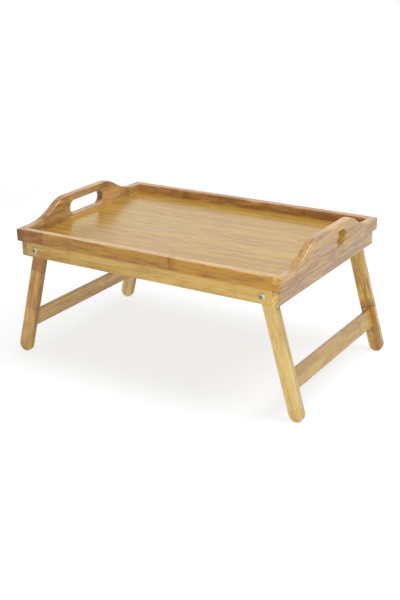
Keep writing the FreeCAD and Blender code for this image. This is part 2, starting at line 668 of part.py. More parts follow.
def make_pivot_bolt():
    """Bolt with a domed head and a hexagonal socket, its head against the front apron."""
    body = new_body("pivot_bolt")
    profile = new_sketch(body, "YZ_Plane", "bolt_profile")
    seat, radius = -value("apron_outer_y"), value("bolt_radius")
    rim, head = value("bolt_rim_height"), value("bolt_head_height")
    reach, tip = value("bolt_head_diameter") / 2, seat + value("bolt_length")
    rise = head - rim
    sphere = (reach ** 2 + rise ** 2) / (2 * rise)
    edge_angle = math.degrees(math.asin(reach / sphere))
    dome = draw_arc(profile, (seat - head + sphere, 0), sphere, 180 - edge_angle, 180)
    axis = draw_line(profile, (seat - head, 0), (tip, 0))
    end = draw_line(profile, (tip, 0), (tip, radius))
    shank = draw_line(profile, (tip, radius), (seat, radius))
    under = draw_line(profile, (seat, radius), (seat, reach))
    side = draw_line(profile, (seat, reach), (seat - rim, reach))
    join(profile, "Coincident", (dome, 2, axis, 1), (axis, 2, end, 1), (end, 2, shank, 1),
         (shank, 2, under, 1), (under, 2, side, 1), (side, 2, dome, 1))
    profile.addConstraint(Sketcher.Constraint("PointOnObject", dome, 3, -1))
    place_point(profile, axis, 1, "-apron_outer_y - bolt_head_height", "0")
    place_point(profile, end, 1, "bolt_length - apron_outer_y", "0")
    place_point(profile, shank, 1, "bolt_length - apron_outer_y", "bolt_radius")
    place_point(profile, under, 1, "-apron_outer_y", "bolt_radius")
    place_point(profile, side, 1, "-apron_outer_y", "bolt_head_diameter / 2")
    place_point(profile, dome, 1, "-apron_outer_y - bolt_rim_height", "bolt_head_diameter / 2")
    revolve(body, profile)

    before = body.Shape.Volume
    socket = body.newObject("PartDesign::SubtractivePrism", "bolt_socket")
    socket.AttachmentSupport = [(origin_plane(body, "XZ_Plane"), "")]
    socket.MapMode = "FlatFace"
    socket.Polygon = 6
    bind(socket, "Circumradius", "bolt_socket_width / 2 / cos(30)")
    bind(socket, "Height", "bolt_head_height")
    bind(socket, "AttachmentOffset.Base.z", "apron_outer_y + bolt_head_height - bolt_socket_depth")
    doc.recompute()
    if body.Shape.Volume > before - CLOSE:
        raise RuntimeError("the bolt's socket cuts nothing")
    hang_on_pivot(body)
    return body


def make_ring(label, outside, inside, start, thickness):
    """A washer about the Y axis, from start inwards."""
    body = new_body(label)
    profile = new_sketch(body, "YZ_Plane", label + "_profile")
    draw_box(profile, start, f"{start} + {thickness}", inside, outside)
    revolve(body, profile)
    hang_on_pivot(body)
    return body


def make_lock_nut():
    """Hexagonal lock nut with its round collar towards the bolt's tip."""
    body = new_body("lock_nut")
    profile = new_sketch(body, "YZ_Plane", "nut_collar")
    draw_box(profile, "-nut_y", "-nut_y + nut_thickness + collar_height", "bolt_radius + glue_gap",
             "collar_diameter / 2")
    revolve(body, profile)
    hexagon = body.newObject("PartDesign::AdditivePrism", "nut_hexagon")
    hexagon.AttachmentSupport = [(origin_plane(body, "XZ_Plane"), "")]
    hexagon.MapMode = "FlatFace"
    hexagon.Polygon = 6
    bind(hexagon, "Circumradius", "nut_width / 2 / cos(30)")
    bind(hexagon, "Height", "nut_thickness")
    bind(hexagon, "AttachmentOffset.Base.z", "nut_y - nut_thickness")
    doc.recompute()
    bore = new_sketch(body, "XZ_Plane", "nut_bore", "nut_y")
    draw_circle(bore, "0", "0", "bolt_diameter + 2 * glue_gap")
    pocket(body, bore, "nut_thickness + collar_height")
    hang_on_pivot(body)
    return body


# --------------------------------------------------------------------------------------------------
# Build every piece, check it and write it
# --------------------------------------------------------------------------------------------------
def make_pieces():
    """All the pieces by the name of their file."""
    front_rail = make_front_rail()
    right_board = make_right_handle_board()
    front_apron = make_front_apron()
    right_apron = make_right_apron()
    right_front_leg = make_right_front_leg()
    left_front_leg = mirror("left_front_leg", right_front_leg, "x")
    right_stretcher = make_right_stretcher()
    right_stretcher_dowels = make_right_stretcher_dowels()
    rail_dowels = make_corner_dowels("right_front_rail_dowels", "end_inner_x + blind_depth",
                                     "-rail_middle_y", "rail_dowel_z", "rail_dowel_spacing",
                                     "rail_dowel_length")
    apron_dowels = make_corner_dowels("right_front_apron_dowels", "apron_inner_x + blind_depth",
                                      "-apron_middle_y", "apron_middle_z", "apron_dowel_spacing",
                                      "apron_dowel_length")
    front_frame_dowels = make_front_frame_dowels()
    back_frame_dowels = mirror("back_frame_dowels", front_frame_dowels, "y")
    bore = "bolt_radius + glue_gap"
    rim = "washer_diameter / 2"
    return [
        make_panel(),
        front_rail,
        mirror("back_rail", front_rail, "y"),
        right_board,
        mirror("left_handle_board", right_board, "x"),
        front_apron,
        mirror("back_apron", front_apron, "y"),
        right_apron,
        mirror("left_apron", right_apron, "x"),
        four_corners("rail_dowels", rail_dowels),
        four_corners("apron_dowels", apron_dowels),
        gather("frame_dowels", [front_frame_dowels, back_frame_dowels]),
        right_front_leg,
        mirror("right_back_leg", right_front_leg, "y"),
        right_stretcher,
        right_stretcher_dowels,
        left_front_leg,
        mirror("left_back_leg", left_front_leg, "y"),
        mirror("left_stretcher", right_stretcher, "x"),
        mirror("left_stretcher_dowels", right_stretcher_dowels, "x"),
        four_corners("pivot_bolts", make_pivot_bolt()),
        four_corners("spacer_washers", make_ring("spacer_washer", rim, bore, "-apron_inner_y",
                                                 "spacer_thickness")),
        four_corners("nut_washers", make_ring("nut_washer", rim, bore, "-nut_washer_y",
                                              "washer_thickness")),
        four_corners("lock_nuts", make_lock_nut()),
    ]


pieces = make_pieces()
doc.recompute()
for item in doc.Objects:
    if "Invalid" in item.State or "Error" in item.State:
        raise RuntimeError(f"{item.Label} failed: {item.State}")
for piece in pieces:
    if piece.Shape.isNull() or not piece.Shape.isValid() or not piece.Shape.Solids:
        raise RuntimeError(f"{piece.Label} has no valid solid")

os.makedirs("parts", exist_ok=True)
for piece in pieces:
    piece.Shape.exportStep(f"parts/{piece.Label}.step")
    box = piece.Shape.optimalBoundingBox(False)
    print(f"{piece.Label}: {len(piece.Shape.Solids)} solids, {piece.Shape.Volume:.0f} mm3, "
          f"x {box.XMin:.1f}..{box.XMax:.1f}, y {box.YMin:.1f}..{box.YMax:.1f}, "
          f"z {box.ZMin:.1f}..{box.ZMax:.1f}")
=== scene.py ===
import json
import math

import bpy
from mathutils import Matrix, Vector


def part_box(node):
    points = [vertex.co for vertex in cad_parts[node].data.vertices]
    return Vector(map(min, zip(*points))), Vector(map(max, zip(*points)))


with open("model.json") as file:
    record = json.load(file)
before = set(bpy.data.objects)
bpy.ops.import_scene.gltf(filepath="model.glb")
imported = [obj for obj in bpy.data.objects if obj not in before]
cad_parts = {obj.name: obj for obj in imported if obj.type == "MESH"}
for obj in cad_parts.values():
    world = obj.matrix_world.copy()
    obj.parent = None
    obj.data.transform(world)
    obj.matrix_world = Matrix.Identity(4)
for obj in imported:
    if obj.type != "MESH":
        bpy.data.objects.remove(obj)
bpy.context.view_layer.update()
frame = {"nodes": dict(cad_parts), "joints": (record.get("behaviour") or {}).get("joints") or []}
NODES = frame["nodes"]
JOINTS = {joint["name"]: joint for joint in frame["joints"]}

# The camera of the photograph, fitted to the corners and feet of the table (metres, degrees).
CAMERA_PLACE = Vector((0.8920, -1.4034, 0.7443))
CAMERA_AZIMUTH = 32.42
CAMERA_ELEVATION = 21.35
CAMERA_ROLL = -1.06
FOCAL_PIXELS = 1029.0
FRAME_HEIGHT_PIXELS = 600
SENSOR_MM = 36

WHITE = (1.0, 1.0, 1.0, 1.0)


# --------------------------------------------------------------------------------------------------
# A short way of writing shader nodes
# --------------------------------------------------------------------------------------------------
class Graph:
    """The nodes of a material or a world. Each method adds a node and returns the socket it gives."""

    def __init__(self, owner):
        self.owner = owner
        owner.use_nodes = True
        self.tree = owner.node_tree
        self.tree.nodes.clear()

    def add(self, kind, inputs=None, **settings):
        node = self.tree.nodes.new("ShaderNode" + kind)
        for key, setting in settings.items():
            setattr(node, key, setting)
        for key, source in (inputs or {}).items():
            self.feed(node.inputs[key], source)
        return node

    def feed(self, socket, source):
        if isinstance(source, bpy.types.NodeSocket):
            self.tree.links.new(source, socket)
        else:
            socket.default_value = source

    def math(self, operation, first, second=0.0, third=0.0, clamp=False):
        node = self.add("Math", {0: first, 1: second, 2: third}, operation=operation, use_clamp=clamp)
        return node.outputs[0]

    def mix(self, factor, first, second, blend="MIX"):
        node = self.add("Mix", data_type="RGBA", blend_type=blend, clamp_factor=True)
        self.feed(node.inputs[0], factor)
        self.feed(node.inputs[6], first)
        self.feed(node.inputs[7], second)
        return node.outputs[2]

    def dot(self, vector, direction):
        node = self.add("VectorMath", {0: vector, 1: direction}, operation="DOT_PRODUCT")
        return node.outputs["Value"]

    def length(self, vector):
        return self.add("VectorMath", {0: vector}, operation="LENGTH").outputs["Value"]

    def spread(self, source, low, high, to_low=0.0, to_high=1.0):
        """Map low..high of a value onto to_low..to_high with a smooth start and end."""
        node = self.add("MapRange", {0: source, 1: low, 2: high, 3: to_low, 4: to_high},
                        interpolation_type="SMOOTHSTEP", clamp=True)
        return node.outputs[0]

    def noise(self, vector, scale=1.0, detail=3.0, roughness=0.55):
        node = self.add("TexNoise", {"Vector": vector, "Scale": scale, "Detail": detail,
                                     "Roughness": roughness})
        return node.outputs["Fac"]

    def stretch(self, vector, along, across, through, shift=0.0):
        """Scale a place along the grain, across it and through the board."""
        scaled = self.add("VectorMath", {0: vector, 1: (along, across, through)}, operation="MULTIPLY")
        moved = self.add("VectorMath", {0: scaled.outputs[0], 1: (shift, shift, shift)},
                         operation="ADD")
        return moved.outputs[0]

    def bump(self, height, strength, distance):
        node = self.add("Bump", {"Strength": strength, "Distance": distance, "Height": height})
        return node.outputs[0]

    def finish(self, shader, output="OutputMaterial"):
        self.add(output, {"Surface": shader.outputs[0]})
        return self.owner


def shade(color, factor):
    return tuple(channel * factor for channel in color[:3]) + (1.0,)


def grey(level):
    return (level, level, level, 1.0)


def srgb(red, green, blue):
    """A colour as it is written on screen, 0 to 255, for a shader's linear socket."""
    def linear(level):
        level /= 255
        return level / 12.92 if level <= 0.04045 else ((level + 0.055) / 1.055) ** 2.4
    return (linear(red), linear(green), linear(blue), 1.0)


# --------------------------------------------------------------------------------------------------
# Where the boards lie and how their grain runs, from the frame (metres)
# --------------------------------------------------------------------------------------------------
class Grain:
    """The directions of one board: along its fibres, across its strips, and through it.

    strip is the width and the depth of its strips, and the strips are counted from origin.
    """

    def __init__(self, along, across, through, strip, origin=(0.0, 0.0, 0.0)):
        self.directions = (along, across, through)
        self.strip_width, self.strip_depth = strip
        self.origin = origin


def middle(node):
    low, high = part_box(node)
    return (low + high) / 2


def flip_x(direction):
    return (-direction[0], direction[1], direction[2])


RIGHT_PIVOT = JOINTS["right_leg_fold"]["pos_m"]
LEFT_PIVOT = JOINTS["left_leg_fold"]["pos_m"]
FOLDED = JOINTS["right_leg_fold"]["range_deg"][1]  # degrees from open to level
LEAN = math.radians(FOLDED - 90)                   # of an open leg, outwards
LEG_DOWN = (math.sin(LEAN), 0.0, -math.cos(LEAN))
LEG_OUT = (math.cos(LEAN), 0.0, math.sin(LEAN))
RIM_MIDDLE = (0.0, 0.0, middle("front_rail").z)
APRON_MIDDLE = (0.0, 0.0, middle("front_apron").z)

PANEL_STRIP = (0.0065, 0.020)
RIM_STRIP = (0.021, 0.021)
APRON_STRIP = (0.026, 0.020)
LEG_STRIP = (0.030, 0.030)
BAR_STRIP = (0.034, 0.020)

X, Y, Z = (1, 0, 0), (0, 1, 0), (0, 0, 1)
PANEL_GRAIN = Grain(X, Y, Z, PANEL_STRIP)
RIM_X = Grain(X, Z, Y, RIM_STRIP, RIM_MIDDLE)
RIM_Y = Grain(Y, Z, X, RIM_STRIP, RIM_MIDDLE)
APRON_X = Grain(X, Z, Y, APRON_STRIP, APRON_MIDDLE)
APRON_Y = Grain(Y, Z, X, APRON_STRIP, APRON_MIDDLE)
RIGHT_LEG = Grain(LEG_DOWN, LEG_OUT, Y, LEG_STRIP, RIGHT_PIVOT)
LEFT_LEG = Grain(flip_x(LEG_DOWN), flip_x(LEG_OUT), Y, LEG_STRIP, LEFT_PIVOT)
RIGHT_BAR = Grain(Y, LEG_DOWN, LEG_OUT, BAR_STRIP, middle("right_stretcher"))
LEFT_BAR = Grain(Y, flip_x(LEG_DOWN), flip_x(LEG_OUT), BAR_STRIP, middle("left_stretcher"))


# --------------------------------------------------------------------------------------------------
# Lacquered bamboo (lengths in metres, counts per metre)
# --------------------------------------------------------------------------------------------------
STREAKS = {  # count along the grain, count across it, detail of the noise
    "broad": (17, 140, 3.0),
    "middle": (36, 340, 2.0),
    "fine": (60, 1500, 2.0),
    "dashes": (55, 800, 1.0),
    "clouds": (9, 38, 2.0),
}
TONE_SHARES = {"broad": 1.8, "middle": 2.1, "fine": 1.2, "clouds": 2.3}
STRIP_SHARE = 0.5         # how much the tone differs from strip to strip
STRIP_SEED = 3.1          # keeps the strips' chance apart from the fibres'
BENDS, BEND_REACH = 7.0, 0.0025   # slow bends of the fibres, and how far they go
CULM_SHIFT = 3.7          # most that a strip's grain is shifted along the board
FRAY = 0.006              # how far the fibres fray a line across them
STEP_BLUR = 0.0015

# What a mark multiplies the wood with, as red, green and blue.
BLUSH_TINT = (1.0, 0.80, 0.60)
PATCH_TINT = (0.80, 0.55, 0.38)
DASH_TINT = (0.66, 0.50, 0.34)
SCORCH_TINT = (0.50, 0.31, 0.16)
GLUE_TINT = (0.55, 0.40, 0.26)
# painted shade: the tint of bands of shade under an overhanging board and along a lower edge
SHADE_LINE_TINT = (0.55, 0.42, 0.30)
END_GRAIN = (0.72, 0.58, 0.42)

# Smooth steps for Graph.spread: from, to, and where they aren't 0 and 1, the values at both.
BLUSH = (0.03, 0.16, 0.0, 0.42)
DASHES = (0.10, 0.24, 0.0, 0.45)
PATCH_EDGE = (0.25, 1.0, 1.0, 0.0)
NODE_LINE = (0.0008, 0.0036, 1.0, 0.0)
NODE_SHADOW = (0.0, 0.018, 0.6, 0.0)
NODE_SHADOW_START = (-0.0012, 0.0006)
SCATTERED_LINE = (0.0006, 0.0022, 1.0, 0.0)
SCATTERED_SHADOW = (0.0, 0.012, 0.35, 0.0)
SCATTERED_CHANCE = (0.40, 0.75)
SCATTERED_GAP = 0.31      # between two nodes of one strip
GLUE_LINE = (0.00010, 0.00045, 0.30, 0.0)
FACING = (0.55, 0.9)      # of a face's normal along a direction of the board
# convex edges are paler, as wear and as a painted highlight, and duller
EDGE_WEAR_AND_HIGHLIGHT = (0.51, 0.60, 0.0, 0.25)
WEAR_AND_HIGHLIGHT_SHADE = 1.15         # of the light tone on convex edges: wear and a painted highlight

BROAD_DULL, WORN_DULL, END_DULL = 0.22, 0.20, 0.12
COAT_ROUGHNESS = 0.2
MIDDLE_RELIEF, FINE_RELIEF, MARK_RELIEF = 0.5, 0.15, -0.5
WOOD_BUMP = (0.20, 0.0003)  # strength, distance


class Bamboo(Graph):
    """A board of bamboo strips. The methods are the steps from its grain to its gloss."""

    def __init__(self, name, grain, seed):
        super().__init__(bpy.data.materials.new(name))
        self.seed = seed
        self.strip_width = grain.strip_width
        place = self.add("TexCoord")
        centred = self.add("VectorMath", {0: place.outputs["Object"], 1: grain.origin},
                           operation="SUBTRACT").outputs[0]
        self.along, self.straight, self.through = (self.dot(centred, way) for way in grain.directions)
        self.at_end, self.at_side = (
            self.spread(self.math("ABSOLUTE", self.dot(place.outputs["Normal"], way)), *FACING)
            for way in grain.directions[:2])

        # the fibres wander a little, and each strip has a tone and a piece of culm of its own
        path = self.add("CombineXYZ", {0: self.math("MULTIPLY", self.along, BENDS), 2: seed})
        bend = self.math("SUBTRACT", self.noise(path.outputs[0], detail=1.0), 0.5)
        self.across = self.math("MULTIPLY_ADD", bend, BEND_REACH, self.straight)
        row = self.math("FLOOR", self.math("DIVIDE", self.across, grain.strip_width))
        layer = self.math("FLOOR", self.math("DIVIDE", self.through, grain.strip_depth))
        which = self.add("CombineXYZ", {0: row, 1: layer, 2: seed + STRIP_SEED})
        chance = self.add("TexWhiteNoise", {"Vector": which.outputs[0]}, noise_dimensions="3D")
        self.strip_tone, self.strip_lot = chance.outputs["Value"], chance.outputs["Color"]
        own_along = self.math("MULTIPLY_ADD", self.strip_tone, CULM_SHIFT, self.along)
        self.fibre_place = self.add(
            "CombineXYZ", {0: own_along, 1: self.across, 2: self.through}).outputs[0]
        self.streaks = {kind: self.fibres(*counts) for kind, counts in STREAKS.items()}
        self.frayed = self.math("MULTIPLY_ADD", self.streaks["middle"], FRAY, self.along)

    def fibres(self, along, across, detail):
        """Streaks of a given count along the grain and across it, around zero."""
        place = self.stretch(self.fibre_place, along, across, across, self.seed)
        return self.math("SUBTRACT", self.noise(place, detail=detail), 0.5)

    def tint(self, wood, amount, color):
        return self.mix(amount, wood, self.mix(1.0, wood, (*color, 1.0), "MULTIPLY"))

    def tone(self, contrast, steps):
        """Tone of the wood, 0 where it is dark and 1 where it is light."""
        spread_of_strips = STRIP_SHARE * contrast
        lowest = 0.5 - spread_of_strips / 2
        level = self.math("MULTIPLY_ADD", self.strip_tone, spread_of_strips, lowest)
        for kind, share in TONE_SHARES.items():
            level = self.math("MULTIPLY_ADD", self.streaks[kind], share * contrast, level)
        for place, change in steps:
            past = self.spread(self.frayed, place - STEP_BLUR, place + STEP_BLUR)
            level = self.math("MULTIPLY_ADD", past, change, level)
        return self.math("ADD", level, 0.0, clamp=True)

    def patch(self, place, height, length, width):
        """Soft oval patch at a place along and across the board."""
        far = self.math("DIVIDE", self.math("SUBTRACT", self.frayed, place), length)
        wide = self.math("DIVIDE", self.math("SUBTRACT", self.across, height), width)
        squares = self.math("ADD", self.math("MULTIPLY", far, far), self.math("MULTIPLY", wide, wide))
        return self.spread(self.math("SQRT", squares), *PATCH_EDGE)

    def stain(self, wood, patches):
        """Reddish clouds and patches, and the dark dashes of the fibre bundles."""
        wood = self.tint(wood, self.spread(self.streaks["clouds"], *BLUSH), BLUSH_TINT)
        for place, height, length, width, depth in patches:
            spot = self.patch(place, height, length, width)
            wood = self.tint(wood, self.math("MULTIPLY", spot, depth), PATCH_TINT)
        return self.tint(wood, self.spread(self.streaks["dashes"], *DASHES), DASH_TINT)

    def node_line(self, place, lean, side):
        """Line of a culm's node at a place along the board, with its shadow on one side."""
        slanted = self.math("MULTIPLY_ADD", self.across, lean, self.frayed)
        offset = self.math("MULTIPLY", self.math("SUBTRACT", slanted, place), side)
        line = self.spread(self.math("ABSOLUTE", offset), *NODE_LINE)
        shadow = self.math("MULTIPLY", self.spread(offset, *NODE_SHADOW),
                           self.spread(offset, *NODE_SHADOW_START))
        return self.math("MAXIMUM", line, shadow)

    def scattered_lines(self):
        """Nodes at a random place in each strip, and in some strips none."""
        lot = self.add("SeparateColor", {0: self.strip_lot})
        moved = self.math("MULTIPLY_ADD", lot.outputs[0], SCATTERED_GAP, self.frayed)
        phase = self.math("FRACT", self.math("DIVIDE", moved, SCATTERED_GAP))
        offset = self.math("ABSOLUTE", self.math("SUBTRACT", phase, 0.5))
        offset = self.math("MULTIPLY", offset, SCATTERED_GAP)
        line = self.math("ADD", self.spread(offset, *SCATTERED_LINE),
                         self.spread(offset, *SCATTERED_SHADOW))
        return line, self.spread(lot.outputs[1], *SCATTERED_CHANCE)

    def scorch(self, nodes, scattered):
        """How dark the nodes of the culms are, 0 where there is none."""
        scorched = 0.0
        for place, lean, side, depth in nodes:
            line = self.math("MULTIPLY", self.node_line(place, lean, side), depth)
            scorched = self.math("MAXIMUM", scorched, line)
        if scattered:
            line, chosen = self.scattered_lines()
            line = self.math("MULTIPLY", line, self.math("MULTIPLY", chosen, scattered))
            scorched = self.math("MAXIMUM", scorched, line)
        return scorched

    def glue(self):
        """The thin joints between the strips."""
        cell = self.math("FRACT", self.math("DIVIDE", self.across, self.strip_width))
        from_joint = self.math("MINIMUM", cell, self.math("SUBTRACT", 1.0, cell))
        return self.spread(self.math("MULTIPLY", from_joint, self.strip_width), *GLUE_LINE)

    # painted shade: a band darker at a height along the board, under an overhanging board and along a
    # lower edge
    def seam(self, wood, height, reach, depth):
        from_shade_line = self.math("ABSOLUTE", self.math("SUBTRACT", self.straight, height))
        return self.tint(wood, self.spread(from_shade_line, 0.0, reach, depth, 0.0), SHADE_LINE_TINT)

    # convex edges, from the mesh's pointiness: paler as wear and as a painted highlight
    def edge_wear_and_highlight(self):
        return self.spread(self.add("NewGeometry").outputs["Pointiness"], *EDGE_WEAR_AND_HIGHLIGHT)

    def lacquer(self, wood, marks, wear_and_highlight, roughness, coat, specular):
        """Cover the wood with lacquer, duller where it is thin, over a faint relief."""
        dull = self.math("MULTIPLY_ADD", self.streaks["broad"], BROAD_DULL, roughness)
        dull = self.math("MULTIPLY_ADD", wear_and_highlight, WORN_DULL, dull)
        dull = self.math("MULTIPLY_ADD", self.at_end, END_DULL, dull, clamp=True)
        relief = self.math("MULTIPLY", self.streaks["fine"], FINE_RELIEF)
        relief = self.math("MULTIPLY_ADD", self.streaks["middle"], MIDDLE_RELIEF, relief)
        relief = self.math("MULTIPLY_ADD", marks, MARK_RELIEF, relief)
        return self.add("BsdfPrincipled", {
            "Base Color": wood, "Roughness": dull, "Normal": self.bump(relief, *WOOD_BUMP),
            "Coat Weight": coat, "Coat Roughness": COAT_ROUGHNESS, "Specular IOR Level": specular})


def bamboo(name, grain, light, dark, seed, contrast=1.0, nodes=(), steps=(), patches=(), shade_lines=(),
           scattered=0.0, roughness=0.36, coat=0.4, specular=0.3, end_grain_and_painted_light=END_GRAIN, painted_side_light_and_shade=None):
    """Board of bamboo strips under a clear lacquer.

    nodes are (place, lean, side, depth) of the culm's nodes along the board, steps are (place,
    change) of the tone past a place, and patches are (place, height, length, width, depth) of
    reddish spots. shade_lines are (height, reach, depth) of bands of painted shade along the board,
    under an overhanging board and along a lower edge, and scattered is the strength of nodes at a
    random place in each strip. end_grain_and_painted_light multiplies the wood on the faces across
    the fibres: the darker end grain, and painted light where it makes them lighter.
    painted_side_light_and_shade multiplies the wood on the faces across the strips: painted shade
    where it makes them darker, painted sheen where it makes them paler.
    """
    board = Bamboo(name, grain, seed)
    wood = board.mix(board.tone(contrast, steps), dark, light)
    wood = board.stain(wood, patches)
    scorched, glued, wear_and_highlight = board.scorch(nodes, scattered), board.glue(), board.edge_wear_and_highlight()
    wood = board.tint(wood, scorched, SCORCH_TINT)
    wood = board.tint(wood, glued, GLUE_TINT)
    # painted shade along the board
    for height, reach, depth in shade_lines:
        wood = board.seam(wood, height, reach, depth)
    # darker end grain on the faces across the fibres, and on some boards painted light that makes
    # those faces lighter
    wood = board.tint(wood, board.at_end, end_grain_and_painted_light)
    # painted light: one factor per board makes the faces across the strips darker as painted shade,
    # paler as painted sheen
    if painted_side_light_and_shade:
        wood = board.tint(wood, board.at_side, painted_side_light_and_shade)
    # wear and painted highlight: convex edges mixed towards a paler light tone
    wood = board.mix(wear_and_highlight, wood, board.mix(0.5, wood, shade(light, WEAR_AND_HIGHLIGHT_SHADE)))
    marks = board.math("MAXIMUM", glued, scorched)
    return board.finish(board.lacquer(wood, marks, wear_and_highlight, roughness, coat, specular))


# --------------------------------------------------------------------------------------------------
# Steel of the fasteners and wood of the dowels
# --------------------------------------------------------------------------------------------------
STEEL_CLOUDS = 260                  # dull patches per metre
STEEL_CLOUD_EDGE = (0.35, 0.7)      # for Graph.spread
STEEL_CLOUD_SHADE = 0.78
SCRATCHES = (400, 400, 5200)        # per metre, along X, Y and Z
SCRATCHES_DULL = 0.18
SCRATCHES_BUMP = (0.12, 0.0001)     # strength, distance
SOCKET_RADIUS, SOCKET_BLUR = 0.0026, 0.0006
# darker colour inside the sockets of the fasteners
SOCKET_DARK = (0.16, 0.145, 0.12, 1.0)
SOCKET_DARK_DEPTH = 0.5
PORES = (60, 900, 900)              # per metre, along X, Y and Z
PORE_EDGE = (0.3, 0.7)              # for Graph.spread
PORES_BUMP = (0.3, 0.0002)          # strength, distance
RAW_ROUGHNESS = 0.7


def plated_steel(name, color, roughness, sockets=()):
    """Nickel-plated steel with fine scratches and dull patches, darker inside its sockets.

    sockets are places on the axes of the fasteners that have one, which lie along Y.
    """
    graph = Graph(bpy.data.materials.new(name))
    place = graph.add("TexCoord").outputs["Object"]
    cloud = graph.spread(graph.noise(place, STEEL_CLOUDS), *STEEL_CLOUD_EDGE)
    scratches = graph.noise(graph.stretch(place, *SCRATCHES), detail=2.0)
    tint = graph.mix(cloud, color, shade(color, STEEL_CLOUD_SHADE))
    if sockets:
        parts = graph.add("SeparateXYZ", {0: place})
    for x, _, z in sockets:
        from_axis = graph.add("CombineXYZ", {0: graph.math("SUBTRACT", parts.outputs[0], x),
                                             1: graph.math("SUBTRACT", parts.outputs[2], z)})
        socket_dark = graph.spread(graph.length(from_axis.outputs[0]), SOCKET_RADIUS,
                             SOCKET_RADIUS + SOCKET_BLUR, SOCKET_DARK_DEPTH, 0.0)
        tint = graph.mix(socket_dark, tint, SOCKET_DARK)
    dull = graph.math("MULTIPLY_ADD", scratches, SCRATCHES_DULL, roughness)
    return graph.finish(graph.add("BsdfPrincipled", {
        "Base Color": tint, "Metallic": 1.0, "Roughness": dull,
        "Normal": graph.bump(scratches, *SCRATCHES_BUMP)}))


def raw_wood(name, light, dark):
    """Plain hardwood of the dowels, with long pores."""
    graph = Graph(bpy.data.materials.new(name))
    place = graph.add("TexCoord").outputs["Object"]
    pores = graph.noise(graph.stretch(place, *PORES))
    wood = graph.mix(graph.spread(pores, *PORE_EDGE), dark, light)
    return graph.finish(graph.add("BsdfPrincipled", {
        "Base Color": wood, "Roughness": RAW_ROUGHNESS, "Normal": graph.bump(pores, *PORES_BUMP)}))


